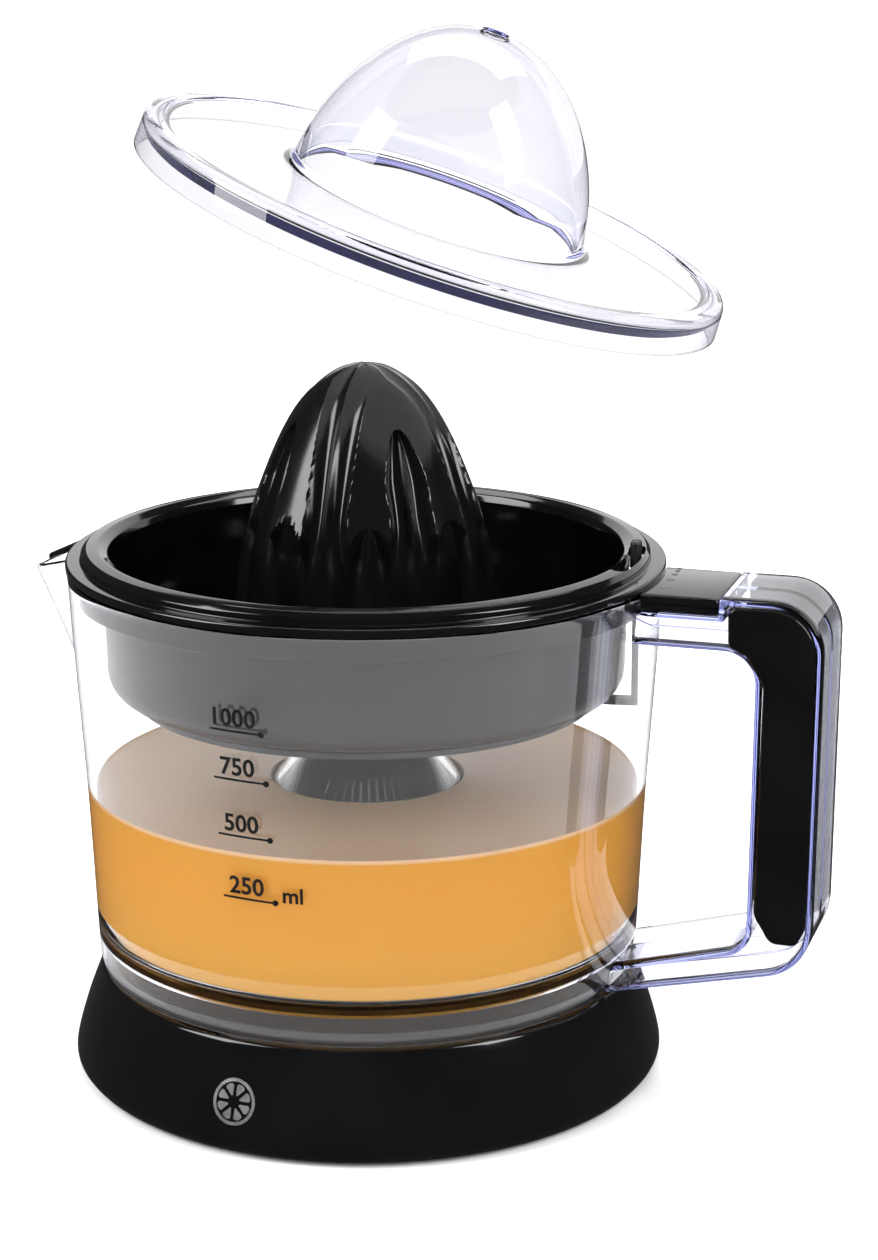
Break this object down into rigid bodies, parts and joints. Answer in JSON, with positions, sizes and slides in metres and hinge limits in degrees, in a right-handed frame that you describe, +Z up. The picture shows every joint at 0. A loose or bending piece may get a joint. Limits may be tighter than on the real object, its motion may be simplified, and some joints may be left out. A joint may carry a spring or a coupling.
{
  "type": "citrus press juicer",
  "caption": "Electric citrus press: motor base, clear measuring jug with looped handle and spout, black strainer bowl, ribbed cone, pulp adjuster and clear domed dust lid.",
  "frame": {"origin": "centre of the round base, on the surface that the rubber feet stand on", "axes": "+Z up along the drive axis, +X towards the handle, -X towards the spout"},
  "size_m": [0.2379, 0.1717, 0.2987],
  "materials": {
    "black_gloss": "glossy moulded black",
    "clear_plastic": "clear moulded plastic",
    "black_satin": "satin moulded black",
    "white_plastic": "plain engineering plastic",
    "grey_plastic": "plain engineering plastic",
    "rubber": "soft rubber",
    "steel": "ground steel",
    "zinc": "zinc plated",
    "brass": "sintered bronze",
    "copper": "enamelled copper wire"
  },
  "bodies": {
    "base": {"base_housing": "black_gloss", "base_plate": "black_satin", "foot_pads": "rubber", "base_screws": "zinc", "cord_inlet_bush": "rubber", "terminal_block": "white_plastic", "gearbox_plate": "grey_plastic", "gearbox_plate_screws": "zinc", "gearbox_cover": "grey_plastic", "gearbox_cover_screws": "zinc", "gear_axle": "steel", "output_bush_lower": "brass", "output_bush_upper": "brass", "shaft_bush": "brass", "shaft_seal": "rubber", "motor_can": "zinc", "motor_end_plate": "zinc", "motor_stator": "steel", "motor_windings": "copper", "motor_screws": "zinc", "return_spring": "steel", "switch_body": "black_satin"},
    "motor_rotor": {"rotor": "steel", "motor_pinion": "brass"},
    "reduction_gear": {"compound_gear": "white_plastic"},
    "output_wheel": {"output_gear": "white_plastic"},
    "press_cup": {"thrust_cup": "white_plastic"},
    "shaft": {"drive_shaft": "steel"},
    "lever": {"switch_lever": "steel"},
    "plunger": {"switch_plunger": "white_plastic"},
    "jug": {"jug_vessel": "clear_plastic", "handle_frame": "clear_plastic", "grip_panel_near": "black_gloss", "grip_panel_far": "black_gloss", "handle_top_cover": "black_gloss"},
    "strainer": {"strainer_bowl": "black_gloss"},
    "pulp_adjuster": {"pulp_ring": "black_satin"},
    "coupling": {"drive_coupling": "black_satin"},
    "cone": {"juicing_cone": "black_gloss"},
    "lid": {"dust_lid": "clear_plastic"}
  },
  "joints": [
    {"name": "output_turn", "type": "hinge", "parent": "base", "child": "output_wheel", "pos_m": [0, 0, 0.048], "axis": [0, 0, 1], "continuous": true},
    {"name": "reduction_turn", "type": "hinge", "parent": "base", "child": "reduction_gear", "pos_m": [-0.02495, 0.0216, 0.045], "axis": [0, 0, 1], "continuous": true},
    {"name": "motor_turn", "type": "hinge", "parent": "base", "child": "motor_rotor", "pos_m": [-0.044, 0, 0.02], "axis": [0, 0, 1], "continuous": true},
    {"name": "press", "type": "slide", "parent": "base", "child": "press_cup", "axis": [0, 0, 1], "range_m": [-0.002, 0], "stiffness_N_per_m": 700, "springref_m": 0.0015, "deforming": ["return_spring"]},
    {"name": "shaft_turn", "type": "hinge", "parent": "press_cup", "child": "shaft", "pos_m": [0, 0, 0.05], "axis": [0, 0, 1], "continuous": true},
    {"name": "switch_lever_tilt", "type": "hinge", "parent": "base", "child": "lever", "pos_m": [0.03, 0, 0.0176], "axis": [0, 1, 0], "range_deg": [-6.2, 0.5]},
    {"name": "switch_plunger_press", "type": "slide", "parent": "base", "child": "plunger", "axis": [0, 0, 1], "range_m": [-0.0012, 0.0001]},
    {"name": "jug_lift", "type": "slide", "parent": "base", "child": "jug", "axis": [0, 0, 1], "range_m": [0, 0.1]},
    {"name": "strainer_lift", "type": "slide", "parent": "jug", "child": "strainer", "axis": [0, 0, 1], "range_m": [0, 0.06]},
    {"name": "pulp_adjust", "type": "hinge", "parent": "strainer", "child": "pulp_adjuster", "pos_m": [0, 0, 0.111], "axis": [0, 0, 1], "range_deg": [-13, 3]},
    {"name": "coupling_turn", "type": "hinge", "parent": "strainer", "child": "coupling", "pos_m": [0, 0, 0.13], "axis": [0, 0, 1], "continuous": true},
    {"name": "cone_press", "type": "slide", "parent": "coupling", "child": "cone", "axis": [0, 0, 1], "range_m": [-0.002, 0]},
    {"name": "lid_lift", "type": "hinge", "parent": "strainer", "child": "lid", "pos_m": [0.27735, 0.01842, 0.14326], "axis": [-0.0663, 0.9978, 0], "range_deg": [-19.15, 0]}
  ],
  "couplings": [
    {"joint": "reduction_turn", "follows": "output_turn", "ratio": -3.7143},
    {"joint": "motor_turn", "follows": "output_turn", "ratio": 18.571},
    {"joint": "shaft_turn", "follows": "output_turn", "ratio": 1},
    {"joint": "coupling_turn", "follows": "output_turn", "ratio": 1},
    {"joint": "cone_press", "follows": "press", "ratio": 1},
    {"joint": "switch_lever_tilt", "follows": "press", "rad_per_m": 49.02},
    {"joint": "switch_plunger_press", "follows": "press", "ratio": 0.53922}
  ]
}
